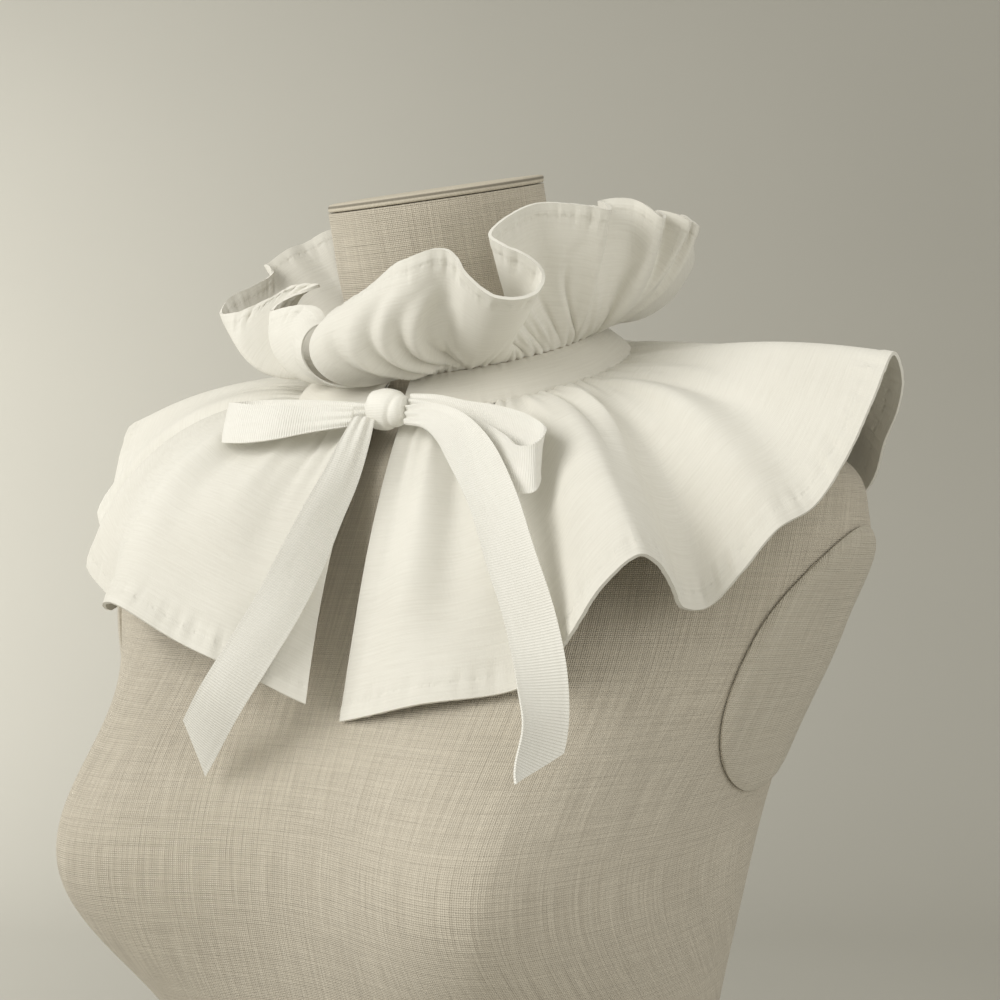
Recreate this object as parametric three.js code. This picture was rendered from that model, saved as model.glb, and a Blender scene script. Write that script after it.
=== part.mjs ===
// Detachable ruffle collar with a ribbon tie, carried by a limbless dress form.
// Units are millimetres, +Z up, the front of the collar faces -Y, origin at the middle of the form's flat base.
// Angles round the neck are in degrees: 0 at the front, 90 at +X (the form's left), 180 at the back.
import * as THREE from 'three';

// ---- driving sizes ----
const CLOTH = 1.2;          // wall of the ruffle, the flounce and the neckband
const RIBBON = 1.0;         // wall of the ribbon
const FLOUNCE_DEEP = 144;   // cut depth of the flounce, band seam to hem
const RUFFLE_DEEP = 72;     // cut depth of the ruffle, band seam to hem
const SEAM = 1.5;           // how far the band's upper edge stays back from its seam
const LOW_SEAM = 0.8;       // the same for its lower edge
const RUFFLE_LIFT = 1.2;    // the ruffle's edge stands this far above the band's upper seam
const FORM_TOP = 698;       // height of the neck's cut plane at the middle of the neck
const CAP_THICK = 4;        // lid on the neck
const PLATE_THICK = 2.4;    // arm plates

// the two seams of the neckband: half width, reach to the front, reach to the back, height at the front
const UPPER_SEAM = { half: 68.5, front: 46, back: 65, z: 609 };
const LOWER_SEAM = { half: 84, front: 58, back: 79, z: 591 };
const RUFFLE_SEAM = { ...UPPER_SEAM, z: UPPER_SEAM.z + RUFFLE_LIFT };
const SEAM_MIDDLE = 9;      // y of the widest part of both seams
const SEAM_RISE = 0.385;    // climb of both seams from front to back

// dress form sections, from the base up
const FORM = {
  columns: ['z', 'half', 'front', 'back', 'middle', 'round', 'tilt'],
  rows: [
    [0, 168, 100, 118, 0, 2.4, 0],
    [60, 172, 102, 122, 0, 2.4, 0],
    [140, 148, 94, 106, 0, 2.3, 0],
    [210, 120, 86, 88, 0, 2.2, 0],
    [290, 121, 101, 94, 0, 2.2, 0],
    [370, 136, 112, 104, 0, 2.3, 0],
    [440, 155, 112, 112, 0, 2.3, 0],
    [500, 182, 98, 114, 2, 2.3, 0],
    [545, 196, 82, 104, 6, 2.2, 0],
    [572, 183, 71, 88, 10, 2.1, 0],
    [592, 137, 61, 74, 12, 2.0, 4],
    [608, 92, 53, 64, 12, 2.0, 10],
    [622, 66, 52, 58, 10, 2.0, 16],
    [638, 56, 51, 53, 6, 2.0, 16],
    [675, 52, 50, 50, -8, 2.0, 16],
    [702, 51, 50, 50, -17, 2.0, 17],
  ],
};
// the two halves of the bust: distance from the middle, height, width, height spread, fullness
const BUST = { x: 87, z: 402, wide: 68, tall: 65, full: 57 };

// one row a fold line of the flounce: where it leaves the band, the way it heads,
// its rise at the band and its rise at the hem
const FLOUNCE = {
  columns: ['at', 'heading', 'riseIn', 'riseOut'],
  rows: [
    [6, 9, -52, -76], [21, 20, -46, -70], [33, 38, -41, -67], [39, 40, -30, -60],
    [44, 42, -16, -52], [48, 45, -8, -52], [51, 47, -6, -58], [54, 50, -8, -66],
    [58, 53, -13, -73], [64, 55, -17, -71], [70, 56, -13, -63], [76, 58, -6, -56],
    [82, 63, -3, -53], [88, 65, 0, -42], [93, 67, 3, -27], [98, 70, 4, -14],
    [104, 74, 4, -22], [111, 77, 4, -34], [119, 81, 3, -47], [129, 112, -4, -70],
    [138, 136, -22, -74], [148, 150, -8, -72], [158, 158, 0, -76], [168, 170, -26, -78],
    [178, 182, -36, -80], [188, 194, -8, -74], [198, 206, 2, -70], [208, 214, -20, -78],
    [218, 222, -34, -80], [228, 236, -10, -70], [240, 252, -2, -60], [252, 262, 8, -40],
    [265, 267, 8, -22], [273, 267, 7, -29], [281, 270, 9, -47], [288, 278, 9, -61],
    [294, 278, 3, -69], [299, 297, 3, -79], [304, 308, 2, -92], [310, 318, 2, -97],
    [316, 334, -5, -84], [321, 351, -22, -54], [332, 361, -27, -63], [343, 369, -33, -69],
    [354, 374, -44, -72],
  ],
};

// the same for the ruffle, which stands up from the band's upper seam;
// 'late' above 1 keeps the bend for the outer part of the depth
const RUFFLE = {
  columns: ['at', 'heading', 'riseIn', 'riseOut', 'late'],
  rows: [
    [2, -54, -20, 184, 2], [5, -32, -13, 178, 2], [8, -10, -11, 156, 1.8], [11, 4, -8, 132, 1.5],
    [14, 18, -1, 92, 1.2], [19, 31, 23, 50, 1], [24, 33, 17, 31, 1], [28, 39, 11, 21, 1],
    [33, 47, 8, 26, 1], [38, 46, 9, 37, 1], [43, 37, 13, 43, 1], [48, 21, 18, 48, 1],
    [53, 10, 22, 52, 1], [58, 9, 33, 53, 1], [63, 18, 44, 58, 1], [68, 30, 35, 65, 1],
    [72, 38, 32, 62, 1], [75, 44, 25, 65, 1], [78, 47, 19, 107, 1], [83, 61, 24, 89, 1],
    [88, 64, 11, 72, 1], [91, 80, 8, 102, 1], [96, 78, 12, 67, 1], [99, 88, 8, 88, 1],
    [104, 86, 2, 77, 1], [110, 106, 5, 105, 1], [118, 122, 8, 96, 1], [126, 150, -8, 64, 1],
    [134, 143, 12, 90, 1],
    [143, 144, 40, 80, 1], [152, 152, 22, 48, 1], [161, 164, 42, 82, 1], [170, 170, 22, 50, 1],
    [179, 180, 42, 82, 1], [188, 190, 20, 48, 1], [197, 198, 40, 80, 1], [206, 208, 22, 48, 1],
    [215, 218, 40, 82, 1], [223, 232, 24, 52, 1], [231, 250, 40, 82, 1], [240, 274, 44, 74, 1],
    [248, 272, 50, 54, 1], [254, 276, 44, 54, 1], [260, 279, 32, 50, 1], [267, 276, 18, 72, 1],
    [274, 270, 6, 96, 1.2], [281, 273, 0, 86, 1.2], [288, 279, 4, 63, 1.2], [294, 282, -6, 70, 1.4],
    [300, 285, -20, 110, 1.5], [306, 280, -14, 146, 1.5], [312, 271, 2, 166, 1.5], [318, 262, 8, 186, 1.5],
    [324, 264, 0, 168, 1.5], [329, 270, -8, 138, 1.5], [334, 272, -12, 112, 1.5], [340, 277, -15, 126, 1.5],
    [346, 286, -17, 176, 1.6], [351, 296, -20, 192, 1.8], [357, 306, -20, 196, 2],
  ],
};

// ribbon strips, one row a place along the middle of the ribbon:
// its position, the way the width points (turn about Z from +X, lift from level), the width
const RIBBON_COLUMNS = ['x', 'y', 'z', 'turn', 'lift', 'wide'];
const LEFT_TAIL = [
  [1, -77.8, 588, 28, -10, 9], [3, -87, 578, 32, -18, 12], [4, -99, 562, 42, -24, 15], [3, -110, 547, 46, -26, 17],
  [1, -122, 528, 42, -27, 19], [-2, -134, 509, 34, -30, 19], [-8, -144, 491, 28, -31, 19],
  [-18, -149, 473, 28, -34, 19], [-35, -144, 452, 28, -42, 19],
];
const RIGHT_TAIL = [
  [18.6, -72.5, 589.5, 90, 74, 8], [39, -85, 587, 60, 60, 12], [54, -94, 581, 42, 46, 16],
  [67, -102, 571, 32, 32, 19], [82, -111, 553, 24, 22, 19], [96, -121, 529, 26, 16, 19],
  [108, -128, 506, 28, 13, 19], [116, -134, 484, 42, 2, 19], [119, -138, 467, 58, -14, 19],
  [117, -141, 453, 60, -26, 19],
];
const LEFT_LOOP = [
  [-1.4, -71.5, 592, 90, 78, 8], [-24, -74, 592, 90, 72, 12], [-47, -77, 591, 90, 70, 17], [-64, -79, 590, 90, 72, 19],
  [-69, -84, 589, 90, 74, 19], [-62, -89, 588, 90, 74, 19], [-51, -90, 587, 90, 72, 18], [-38, -89, 587, 90, 72, 16],
  [-24, -84, 588, 90, 74, 12], [-4, -79, 589, 90, 78, 8],
];
const RIGHT_LOOP = [
  [18.6, -68.5, 595, 90, 68, 8], [34, -73, 592, 90, 62, 12], [50, -78, 587, 90, 56, 16],
  [68, -83, 582, 90, 60, 19], [88, -91, 575, 80, 72, 19], [98, -98, 568, 50, 84, 19],
  [97, -103, 563, 10, 88, 19], [88, -102, 563, 14, 80, 18], [78, -97, 569, 26, 66, 16],
  [66, -91, 576, 36, 54, 14], [51, -84, 583, 50, 54, 12], [35, -78, 589, 70, 62, 9],
];
// knot: sections across it, x then the half height and half depth
const KNOT = {
  columns: ['x', 'tall', 'deep'],
  rows: [[-9, 5.5, 4], [-7.5, 7.5, 5.5], [-4, 8.6, 6.6], [1, 8.8, 7], [5, 8, 6.4], [8.5, 6.6, 5.4], [10, 5, 4]],
  at: [8, -70, 592.5],
};

// ---- working parts ----
const rad = (degrees) => (degrees * Math.PI) / 180;

function named(columns, row) {
  return Object.fromEntries(columns.map((name, k) => [name, row[k]]));
}

// smooth curve through the rows, each tangent taken from its two neighbours
function through(xs, ys, x) {
  const last = xs.length - 1;
  let k = 0;
  while (k < last - 1 && x >= xs[k + 1]) k += 1;
  const slope = (i) => (ys[i + 1] - ys[i]) / (xs[i + 1] - xs[i]);
  const tangent = (i) => {
    if (i === 0) return slope(0);
    if (i === last) return slope(last - 1);
    const before = xs[i] - xs[i - 1];
    const after = xs[i + 1] - xs[i];
    return (slope(i - 1) * after + slope(i) * before) / (before + after);
  };
  const span = xs[k + 1] - xs[k];
  const t = (x - xs[k]) / span;
  return (1 + 2 * t) * (1 - t) ** 2 * ys[k] + t * (1 - t) ** 2 * span * tangent(k)
    + t * t * (3 - 2 * t) * ys[k + 1] + t * t * (t - 1) * span * tangent(k + 1);
}

function seamPoint(seam, at) {
  const across = Math.sin(rad(at));
  const ahead = -Math.cos(rad(at));
  const reach = ahead < 0 ? seam.front + SEAM_MIDDLE : seam.back - SEAM_MIDDLE;
  const y = SEAM_MIDDLE + reach * ahead;
  return new THREE.Vector3(seam.half * across, y, seam.z + (y + seam.front) * SEAM_RISE);
}

// points along one fold line: it leaves the seam and bends in its upright plane
function foldLine(seam, line, deep, count) {
  const here = seamPoint(seam, line.at);
  const across = Math.sin(rad(line.heading));
  const ahead = -Math.cos(rad(line.heading));
  const steps = 6;
  const late = line.late ?? 1;
  const points = [here.clone()];
  for (let j = 1; j < count; j += 1) {
    for (let k = 0; k < steps; k += 1) {
      const t = (j - 1 + (k + 0.5) / steps) / (count - 1);
      const rise = rad(line.riseIn + (line.riseOut - line.riseIn) * t ** late);
      const step = deep / (steps * (count - 1));
      here.x += across * Math.cos(rise) * step;
      here.y += ahead * Math.cos(rise) * step;
      here.z += Math.sin(rise) * step;
    }
    points.push(here.clone());
  }
  return points;
}

// a gathered piece: the fold lines of its table with smooth cloth between them
function gathered(table, seam, deep, around, count) {
  const lines = table.rows.map((row) => named(table.columns, row));
  const hems = lines.map((line) => foldLine(seam, line, deep, 6)[5]);
  const along = [0];
  for (let i = 1; i < hems.length; i += 1) {
    along.push(along[i - 1] + hems[i].distanceTo(hems[i - 1]) ** 0.8 + 2);
  }
  const grid = [];
  for (let i = 0; i < around; i += 1) {
    const s = (along[along.length - 1] * i) / (around - 1);
    const line = {};
    for (const name of table.columns) line[name] = through(along, lines.map((one) => one[name]), s);
    grid.push(foldLine(seam, line, deep, count));
  }
  return grid;
}

// closed wall of even thickness with the grid in its middle
function wall(grid, thick) {
  const nu = grid.length;
  const nv = grid[0].length;
  const spots = [];
  for (const side of [0.5, -0.5]) {
    for (let i = 0; i < nu; i += 1) {
      for (let j = 0; j < nv; j += 1) {
        const du = grid[Math.min(i + 1, nu - 1)][j].clone().sub(grid[Math.max(i - 1, 0)][j]);
        const dv = grid[i][Math.min(j + 1, nv - 1)].clone().sub(grid[i][Math.max(j - 1, 0)]);
        const normal = du.cross(dv).normalize();
        const spot = grid[i][j].clone().addScaledVector(normal, side * thick);
        spots.push(spot.x, spot.y, spot.z);
      }
    }
  }
  const faces = [];
  const low = nu * nv;
  const quad = (a, b, c, d) => faces.push(a, b, c, a, c, d);
  for (let i = 0; i < nu - 1; i += 1) {
    for (let j = 0; j < nv - 1; j += 1) {
      const a = i * nv + j;
      quad(a, a + nv, a + nv + 1, a + 1);
      quad(low + a, low + a + 1, low + a + nv + 1, low + a + nv);
    }
  }
  for (let i = 0; i < nu - 1; i += 1) {
    const a = i * nv;
    const b = a + nv - 1;
    quad(a, low + a, low + a + nv, a + nv);
    quad(b, b + nv, low + b + nv, low + b);
  }
  for (let j = 0; j < nv - 1; j += 1) {
    const a = j;
    const b = (nu - 1) * nv + j;
    quad(a, a + 1, low + a + 1, low + a);
    quad(b, low + b, low + b + 1, b + 1);
  }
  return body(spots, faces);
}

// closed skin over rings of equal count, flat at both ends
function loft(rings) {
  const count = rings[0].length;
  const spots = [];
  const faces = [];
  for (const ring of rings) for (const p of ring) spots.push(p.x, p.y, p.z);
  for (let i = 0; i < rings.length - 1; i += 1) {
    for (let j = 0; j < count; j += 1) {
      const a = i * count + j;
      const b = i * count + ((j + 1) % count);
      faces.push(a, b, b + count, a, b + count, a + count);
    }
  }
  for (const end of [0, rings.length - 1]) {
    const middle = spots.length / 3;
    const sum = rings[end].reduce((all, p) => all.add(p), new THREE.Vector3()).divideScalar(count);
    spots.push(sum.x, sum.y, sum.z);
    for (let j = 0; j < count; j += 1) {
      const a = end * count + j;
      const b = end * count + ((j + 1) % count);
      if (end === 0) faces.push(middle, b, a);
      else faces.push(middle, a, b);
    }
  }
  return body(spots, faces);
}

function body(spots, faces) {
  const geometry = new THREE.BufferGeometry();
  geometry.setAttribute('position', new THREE.Float32BufferAttribute(spots, 3));
  geometry.setIndex(faces);
  geometry.computeVertexNormals();
  return geometry;
}

// a place on the dress form: height, angle round it, distance off its surface
function formSpot(z, round) {
  const heights = FORM.rows.map((row) => row[0]);
  const size = {};
  FORM.columns.forEach((name, k) => {
    size[name] = k === 0 ? z : through(heights, FORM.rows.map((row) => row[k]), z);
  });
  const s = Math.sin(rad(round));
  const c = -Math.cos(rad(round));
  const power = 2 / size.round;
  let x = size.half * Math.sign(s) * Math.abs(s) ** power;
  let y = (c < 0 ? size.front : size.back) * Math.sign(c) * Math.abs(c) ** power;
  const top = z + y * Math.tan(rad(size.tilt));
  for (const side of [-1, 1]) {
    const near = Math.exp(-(((x - side * BUST.x) / BUST.wide) ** 2) - ((top - BUST.z) / BUST.tall) ** 2);
    const facing = Math.min(1, Math.max(0, -c * 1.2));
    if (c < 0) y -= BUST.full * near * facing;
    x += side * BUST.full * 0.25 * near * facing;
  }
  return new THREE.Vector3(x, y + size.middle, top);
}

function formOff(z, round, off) {
  const here = formSpot(z, round);
  const du = formSpot(z, round + 1).sub(formSpot(z, round - 1));
  const dv = formSpot(z + 1, round).sub(formSpot(z - 1, round));
  return here.addScaledVector(du.cross(dv).normalize(), off);
}

function formRing(z, count) {
  return Array.from({ length: count }, (_, j) => formSpot(z, (360 * j) / count));
}

function formBody() {
  const rings = [];
  const floors = 37;
  for (let i = 0; i < floors; i += 1) {
    rings.push(formRing(FORM_TOP * (i / (floors - 1)) ** 0.86, 46));
  }
  return loft(rings);
}

function capBody() {
  const rim = formRing(FORM_TOP, 48);
  const middle = rim.reduce((all, p) => all.add(p.clone()), new THREE.Vector3()).divideScalar(rim.length);
  const level = (lift, grow) => rim.map((p) => {
    const out = p.clone().sub(middle).multiplyScalar(grow);
    return middle.clone().add(out).add(new THREE.Vector3(0, 0, lift));
  });
  return loft([level(0.4, 1.0), level(0.8, 1.012), level(CAP_THICK - 0.6, 1.012), level(CAP_THICK, 0.99),
    level(CAP_THICK + 0.8, 0.6)]);
}

// oval plate that lies on the form where an arm would be
function plateBody(side) {
  const grid = [];
  const n = 9;
  for (let i = 0; i <= n; i += 1) {
    const line = [];
    for (let j = 0; j <= n; j += 1) {
      const u = (2 * i) / n - 1;
      const v = (2 * j) / n - 1;
      const a = u * Math.sqrt(1 - (v * v) / 2);
      const b = v * Math.sqrt(1 - (u * u) / 2);
      line.push(formOff(486 + 55 * b, side * (88 - 24 * a * side), 0.8 + PLATE_THICK / 2));
    }
    grid.push(line);
  }
  return wall(grid, PLATE_THICK);
}

function bandBody() {
  const grid = [];
  const count = 70;
  for (let i = 0; i <= count; i += 1) {
    const at = 5 + (350 * i) / count;
    const top = seamPoint(UPPER_SEAM, at);
    const low = seamPoint(LOWER_SEAM, at);
    const way = low.clone().sub(top).normalize();
    top.addScaledVector(way, SEAM);
    low.addScaledVector(way, -LOW_SEAM);
    grid.push([0, 0.33, 0.67, 1].map((t) => top.clone().lerp(low, t)));
  }
  return wall(grid, CLOTH);
}

function ribbonBody(rows, count) {
  const places = rows.map((row) => named(RIBBON_COLUMNS, row));
  const along = [0];
  for (let i = 1; i < places.length; i += 1) {
    const a = places[i - 1];
    const b = places[i];
    along.push(along[i - 1] + Math.hypot(b.x - a.x, b.y - a.y, b.z - a.z));
  }
  const grid = [];
  for (let i = 0; i < count; i += 1) {
    const s = (along[along.length - 1] * i) / (count - 1);
    const q = {};
    for (const name of RIBBON_COLUMNS) q[name] = through(along, places.map((one) => one[name]), s);
    const way = new THREE.Vector3(
      Math.cos(rad(q.turn)) * Math.cos(rad(q.lift)),
      Math.sin(rad(q.turn)) * Math.cos(rad(q.lift)),
      Math.sin(rad(q.lift)),
    );
    const middle = new THREE.Vector3(q.x, q.y, q.z);
    grid.push([-0.5, 0, 0.5].map((t) => middle.clone().addScaledVector(way, t * q.wide)));
  }
  return wall(grid, RIBBON);
}

function knotBody() {
  const [x0, y0, z0] = KNOT.at;
  const rings = KNOT.rows.map((row) => {
    const size = named(KNOT.columns, row);
    return Array.from({ length: 20 }, (_, j) => {
      const angle = (2 * Math.PI * j) / 20;
      return new THREE.Vector3(x0 + size.x, y0 + size.deep * Math.cos(angle), z0 + size.tall * Math.sin(angle));
    });
  });
  return loft(rings);
}

const part = new THREE.Group();
part.name = 'detachable_collar_on_dress_form';

function add(name, geometry, color, roughness) {
  const material = new THREE.MeshStandardMaterial({ color, roughness, metalness: 0 });
  const mesh = new THREE.Mesh(geometry, material);
  mesh.name = name;
  part.add(mesh);
}

add('dress_form', formBody(), 0xb9af9c, 0.95);
add('neck_cap', capBody(), 0xa59a86, 0.95);
add('arm_plate_left', plateBody(1), 0xc4bcab, 0.9);
add('arm_plate_right', plateBody(-1), 0xc4bcab, 0.9);
add('neckband', bandBody(), 0xe9e6dc, 0.85);
add('upper_ruffle', wall(gathered(RUFFLE, RUFFLE_SEAM, RUFFLE_DEEP, 230, 6), CLOTH), 0xf2f0e8, 0.85);
add('lower_flounce', wall(gathered(FLOUNCE, LOWER_SEAM, FLOUNCE_DEEP, 150, 8), CLOTH), 0xf2f0e8, 0.85);
add('bow_knot', knotBody(), 0xf6f5ef, 0.7);
add('bow_loop_left', ribbonBody(LEFT_LOOP, 34), 0xf6f5ef, 0.7);
add('bow_loop_right', ribbonBody(RIGHT_LOOP, 34), 0xf6f5ef, 0.7);
add('bow_tail_left', ribbonBody(LEFT_TAIL, 30), 0xf6f5ef, 0.7);
add('bow_tail_right', ribbonBody(RIGHT_TAIL, 30), 0xf6f5ef, 0.7);

export default part;
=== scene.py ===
"""Detachable ruffle collar with a ribbon bow, worn on a limbless linen dress form.

Sizes are written in millimetres and become metres when a mesh is laid down. +Z is up and the collar's
front faces -Y. Angles round the neck are in degrees: 0 in front, 90 at the wearer's left, 180 behind.
"""

import bpy
import numpy as np
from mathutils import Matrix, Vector


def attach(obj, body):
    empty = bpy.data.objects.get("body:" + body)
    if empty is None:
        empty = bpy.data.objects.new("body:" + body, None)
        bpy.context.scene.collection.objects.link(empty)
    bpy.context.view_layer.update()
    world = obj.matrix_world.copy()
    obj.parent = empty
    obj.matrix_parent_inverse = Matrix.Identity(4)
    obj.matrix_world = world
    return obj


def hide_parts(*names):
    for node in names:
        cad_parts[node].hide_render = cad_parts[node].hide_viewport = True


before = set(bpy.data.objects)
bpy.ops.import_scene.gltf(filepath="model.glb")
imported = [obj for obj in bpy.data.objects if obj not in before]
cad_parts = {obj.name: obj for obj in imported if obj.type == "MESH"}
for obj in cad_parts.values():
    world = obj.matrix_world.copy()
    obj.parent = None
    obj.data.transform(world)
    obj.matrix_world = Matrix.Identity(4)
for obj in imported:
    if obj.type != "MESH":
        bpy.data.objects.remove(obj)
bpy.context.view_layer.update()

METRES = 0.001  # in a millimetre

# ---- Dress form ------------------------------------------------------------------------------------
# A solid bust form without limbs or head, covered in oatmeal linen that is pulled tight over waist, bust
# and shoulders and up to the slanted cut of the neck. It stands on its flat base.

FORM_TOP = 698.0
FORM_SECTIONS = np.array([
    # height, half width, front, back, middle, roundness, tilt
    [0, 168, 100, 118, 0, 2.4, 0],
    [60, 172, 102, 122, 0, 2.4, 0],
    [140, 148, 94, 106, 0, 2.3, 0],
    [210, 120, 86, 88, 0, 2.2, 0],
    [290, 121, 101, 94, 0, 2.2, 0],
    [370, 136, 112, 104, 0, 2.3, 0],
    [440, 155, 112, 112, 0, 2.3, 0],
    [500, 182, 98, 114, 2, 2.3, 0],
    [545, 196, 82, 104, 6, 2.2, 0],
    [572, 183, 71, 88, 10, 2.1, 0],
    [592, 137, 61, 74, 12, 2.0, 4],
    [608, 92, 53, 64, 12, 2.0, 10],
    [622, 66, 52, 58, 10, 2.0, 16],
    [638, 56, 51, 53, 6, 2.0, 16],
    [675, 52, 50, 50, -8, 2.0, 16],
    [702, 51, 50, 50, -17, 2.0, 17],
])
BUST_SPREAD = 0.25  # share of the swelling that goes sideways
BUST = {"x": 87.0, "z": 402.0, "wide": 68.0, "tall": 65.0, "full": 57.0}
LINEN = (0.67, 0.615, 0.51)
LINEN_SHADE = (0.50, 0.45, 0.365)
LINEN_PITCH = 0.00085  # metres from thread to thread
END_RING = 0.02  # size of the small ring in the middle of each flat end


def through(xs, ys, x):
    """Smooth curve through (xs, ys): on each span, h00*y0 + h10*d*m0 + h01*y1 + h11*d*m1 with the cubic
    Hermite weights, and each slope m taken from its two neighbours."""
    xs, ys = np.asarray(xs, float), np.asarray(ys, float)
    span, slope = np.diff(xs), np.diff(ys) / np.diff(xs)
    m = np.empty_like(ys)
    m[0], m[-1] = slope[0], slope[-1]
    m[1:-1] = (slope[:-1] * span[1:] + slope[1:] * span[:-1]) / (span[:-1] + span[1:])
    k = np.clip(np.searchsorted(xs, x, side="right") - 1, 0, len(span) - 1)
    d, t = span[k], (x - xs[k]) / span[k]
    return ((1 + 2 * t) * (1 - t) ** 2 * ys[k] + t * (1 - t) ** 2 * d * m[k]
            + t * t * (3 - 2 * t) * ys[k + 1] + t * t * (t - 1) * d * m[k + 1])


def unit(v):
    """v / |v| along the last axis."""
    return v / np.maximum(np.linalg.norm(v, axis=-1, keepdims=True), 1e-9)


def form_skin(height, turn):
    """Point of the form: superellipse x = half*|sin|^(2/r), y = reach*|cos|^(2/r), leant by tilt, with two
    bust swellings full*exp(-dx^2-dz^2) pushed out to the front and sideways."""
    half, front, back, middle, power, tilt = (
        through(FORM_SECTIONS[:, 0], FORM_SECTIONS[:, k], height) for k in range(1, 7))
    s, c = np.sin(np.radians(turn)), -np.cos(np.radians(turn))
    x = half * np.sign(s) * np.abs(s) ** (2 / power)
    y = np.where(c < 0, front, back) * np.sign(c) * np.abs(c) ** (2 / power)
    z = height + y * np.tan(np.radians(tilt))
    facing = np.clip(-c * 1.2, 0, 1)
    for side in (-1, 1):
        near = np.exp(-((x - side * BUST["x"]) / BUST["wide"]) ** 2
                      - ((z - BUST["z"]) / BUST["tall"]) ** 2)
        y = y - np.where(c < 0, BUST["full"] * near * facing, 0)
        x = x + side * BUST["full"] * BUST_SPREAD * near * facing
    return np.stack([x, y + middle, z], -1)


def form_out(height, turn):
    """Unit normal of the form's skin, from the cross product of its two tangents."""
    du = form_skin(height, turn + 1) - form_skin(height, turn - 1)
    dv = form_skin(height + 1, turn) - form_skin(height - 1, turn)
    return unit(np.cross(du, dv))


def lay_mesh(name, points, faces, uv, sharp=50):
    """Mesh object at the origin from points in mm, faces of equal corner count and a UV pair per point."""
    mesh = bpy.data.meshes.new(name)
    faces = np.asarray(faces, np.int32)
    count, corners = faces.shape
    mesh.vertices.add(len(points))
    mesh.vertices.foreach_set("co", (np.asarray(points, float) * METRES).ravel())
    mesh.loops.add(faces.size)
    mesh.loops.foreach_set("vertex_index", faces.ravel())
    mesh.polygons.add(count)
    mesh.polygons.foreach_set("loop_start", np.arange(count, dtype=np.int32) * corners)
    mesh.update(calc_edges=True)
    layer = mesh.uv_layers.new(name="cut")
    layer.data.foreach_set("uv", np.asarray(uv, float)[faces.ravel()].ravel())
    mesh.polygons.foreach_set("use_smooth", np.ones(count, bool))
    if sharp:
        mesh.set_sharp_from_angle(angle=np.radians(sharp))
    piece = bpy.data.objects.new(name, mesh)
    bpy.context.scene.collection.objects.link(piece)
    return piece


def ring_faces(rows, around):
    """Quads of a closed tube whose rings have `around` points, row by row."""
    i, j = np.meshgrid(np.arange(rows - 1), np.arange(around), indexing="ij")
    a, b = i * around + j, i * around + (j + 1) % around
    return np.stack([a, b, b + around, a + around], -1).reshape(-1, 4)


class Wire:
    """A shader socket that takes + - and * and adds its own Math nodes."""

    def __init__(self, finish, socket):
        self.finish, self.socket = finish, socket

    def _math(self, operation, first, second):
        return self.finish.node("ShaderNodeMath", {"operation": operation}, {0: first, 1: second})

    def __add__(self, other):
        return self._math("ADD", self, other)

    def __sub__(self, other):
        return self._math("SUBTRACT", self, other)

    def __rsub__(self, other):
        return self._math("SUBTRACT", other, self)

    def __mul__(self, other):
        return self._math("MULTIPLY", self, other)

    def sine(self):
        return self._math("SINE", self, 0.0)

    def size(self):
        return self._math("ABSOLUTE", self, 0.0)

    def clear(self, low, high):
        """0 below low, 1 above high, smooth between."""
        return self.finish.node("ShaderNodeMapRange", {"interpolation_type": "SMOOTHSTEP"},
                                {"Value": self, "From Min": low, "From Max": high})


class Finish:
    """A material and the nodes that make it."""

    def __init__(self, name, roughness, **settings):
        self.material = bpy.data.materials.new(name)
        self.material.use_nodes = True
        self.tree = self.material.node_tree
        self.shader = self.tree.nodes["Principled BSDF"]
        self.shader.inputs["Roughness"].default_value = roughness
        for key, value in settings.items():
            self.shader.inputs[key.replace("_", " ")].default_value = value

    def plug(self, socket, value):
        if isinstance(value, Wire):
            self.tree.links.new(value.socket, socket)
        elif isinstance(value, tuple) and len(value) == 3 and socket.type == "RGBA":
            socket.default_value = (*value, 1.0)
        else:
            socket.default_value = value

    def node(self, kind, settings=None, values=None, out=0):
        made = self.tree.nodes.new(kind)
        for key, value in (settings or {}).items():
            setattr(made, key, value)
        for key, value in (values or {}).items():
            self.plug(made.inputs[key], value)
        return Wire(self, made.outputs[out])

    def place(self):
        return self.node("ShaderNodeTexCoord", out="Object")

    def cut(self):
        """Place on the flat cloth, in metres."""
        return self.node("ShaderNodeUVMap", {"uv_map": "cut"})

    def parts(self, where):
        """X, Y and Z of a vector socket."""
        apart = self.tree.nodes.new("ShaderNodeSeparateXYZ")
        self.tree.links.new(where.socket, apart.inputs[0])
        return [Wire(self, part) for part in apart.outputs]

    def noise(self, where, scale, detail=2.0, stretch=None):
        if stretch:
            where = self.node("ShaderNodeMapping", {"vector_type": "POINT"},
                              {"Vector": where, "Scale": stretch})
        return self.node("ShaderNodeTexNoise", {}, {"Vector": where, "Scale": scale, "Detail": detail})

    def mix(self, share, first, second):
        made = self.tree.nodes.new("ShaderNodeMix")
        made.data_type = "RGBA"
        self.plug(made.inputs[0], share)
        self.plug(made.inputs[6], first)
        self.plug(made.inputs[7], second)
        return Wire(self, made.outputs[2])

    def color(self, value):
        self.plug(self.shader.inputs["Base Color"], value)

    def bump(self, height, depth):
        made = self.tree.nodes.new("ShaderNodeBump")
        made.inputs["Strength"].default_value = 1.0
        made.inputs["Distance"].default_value = depth
        self.plug(made.inputs["Height"], height)
        self.tree.links.new(made.outputs["Normal"], self.shader.inputs["Normal"])


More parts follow.
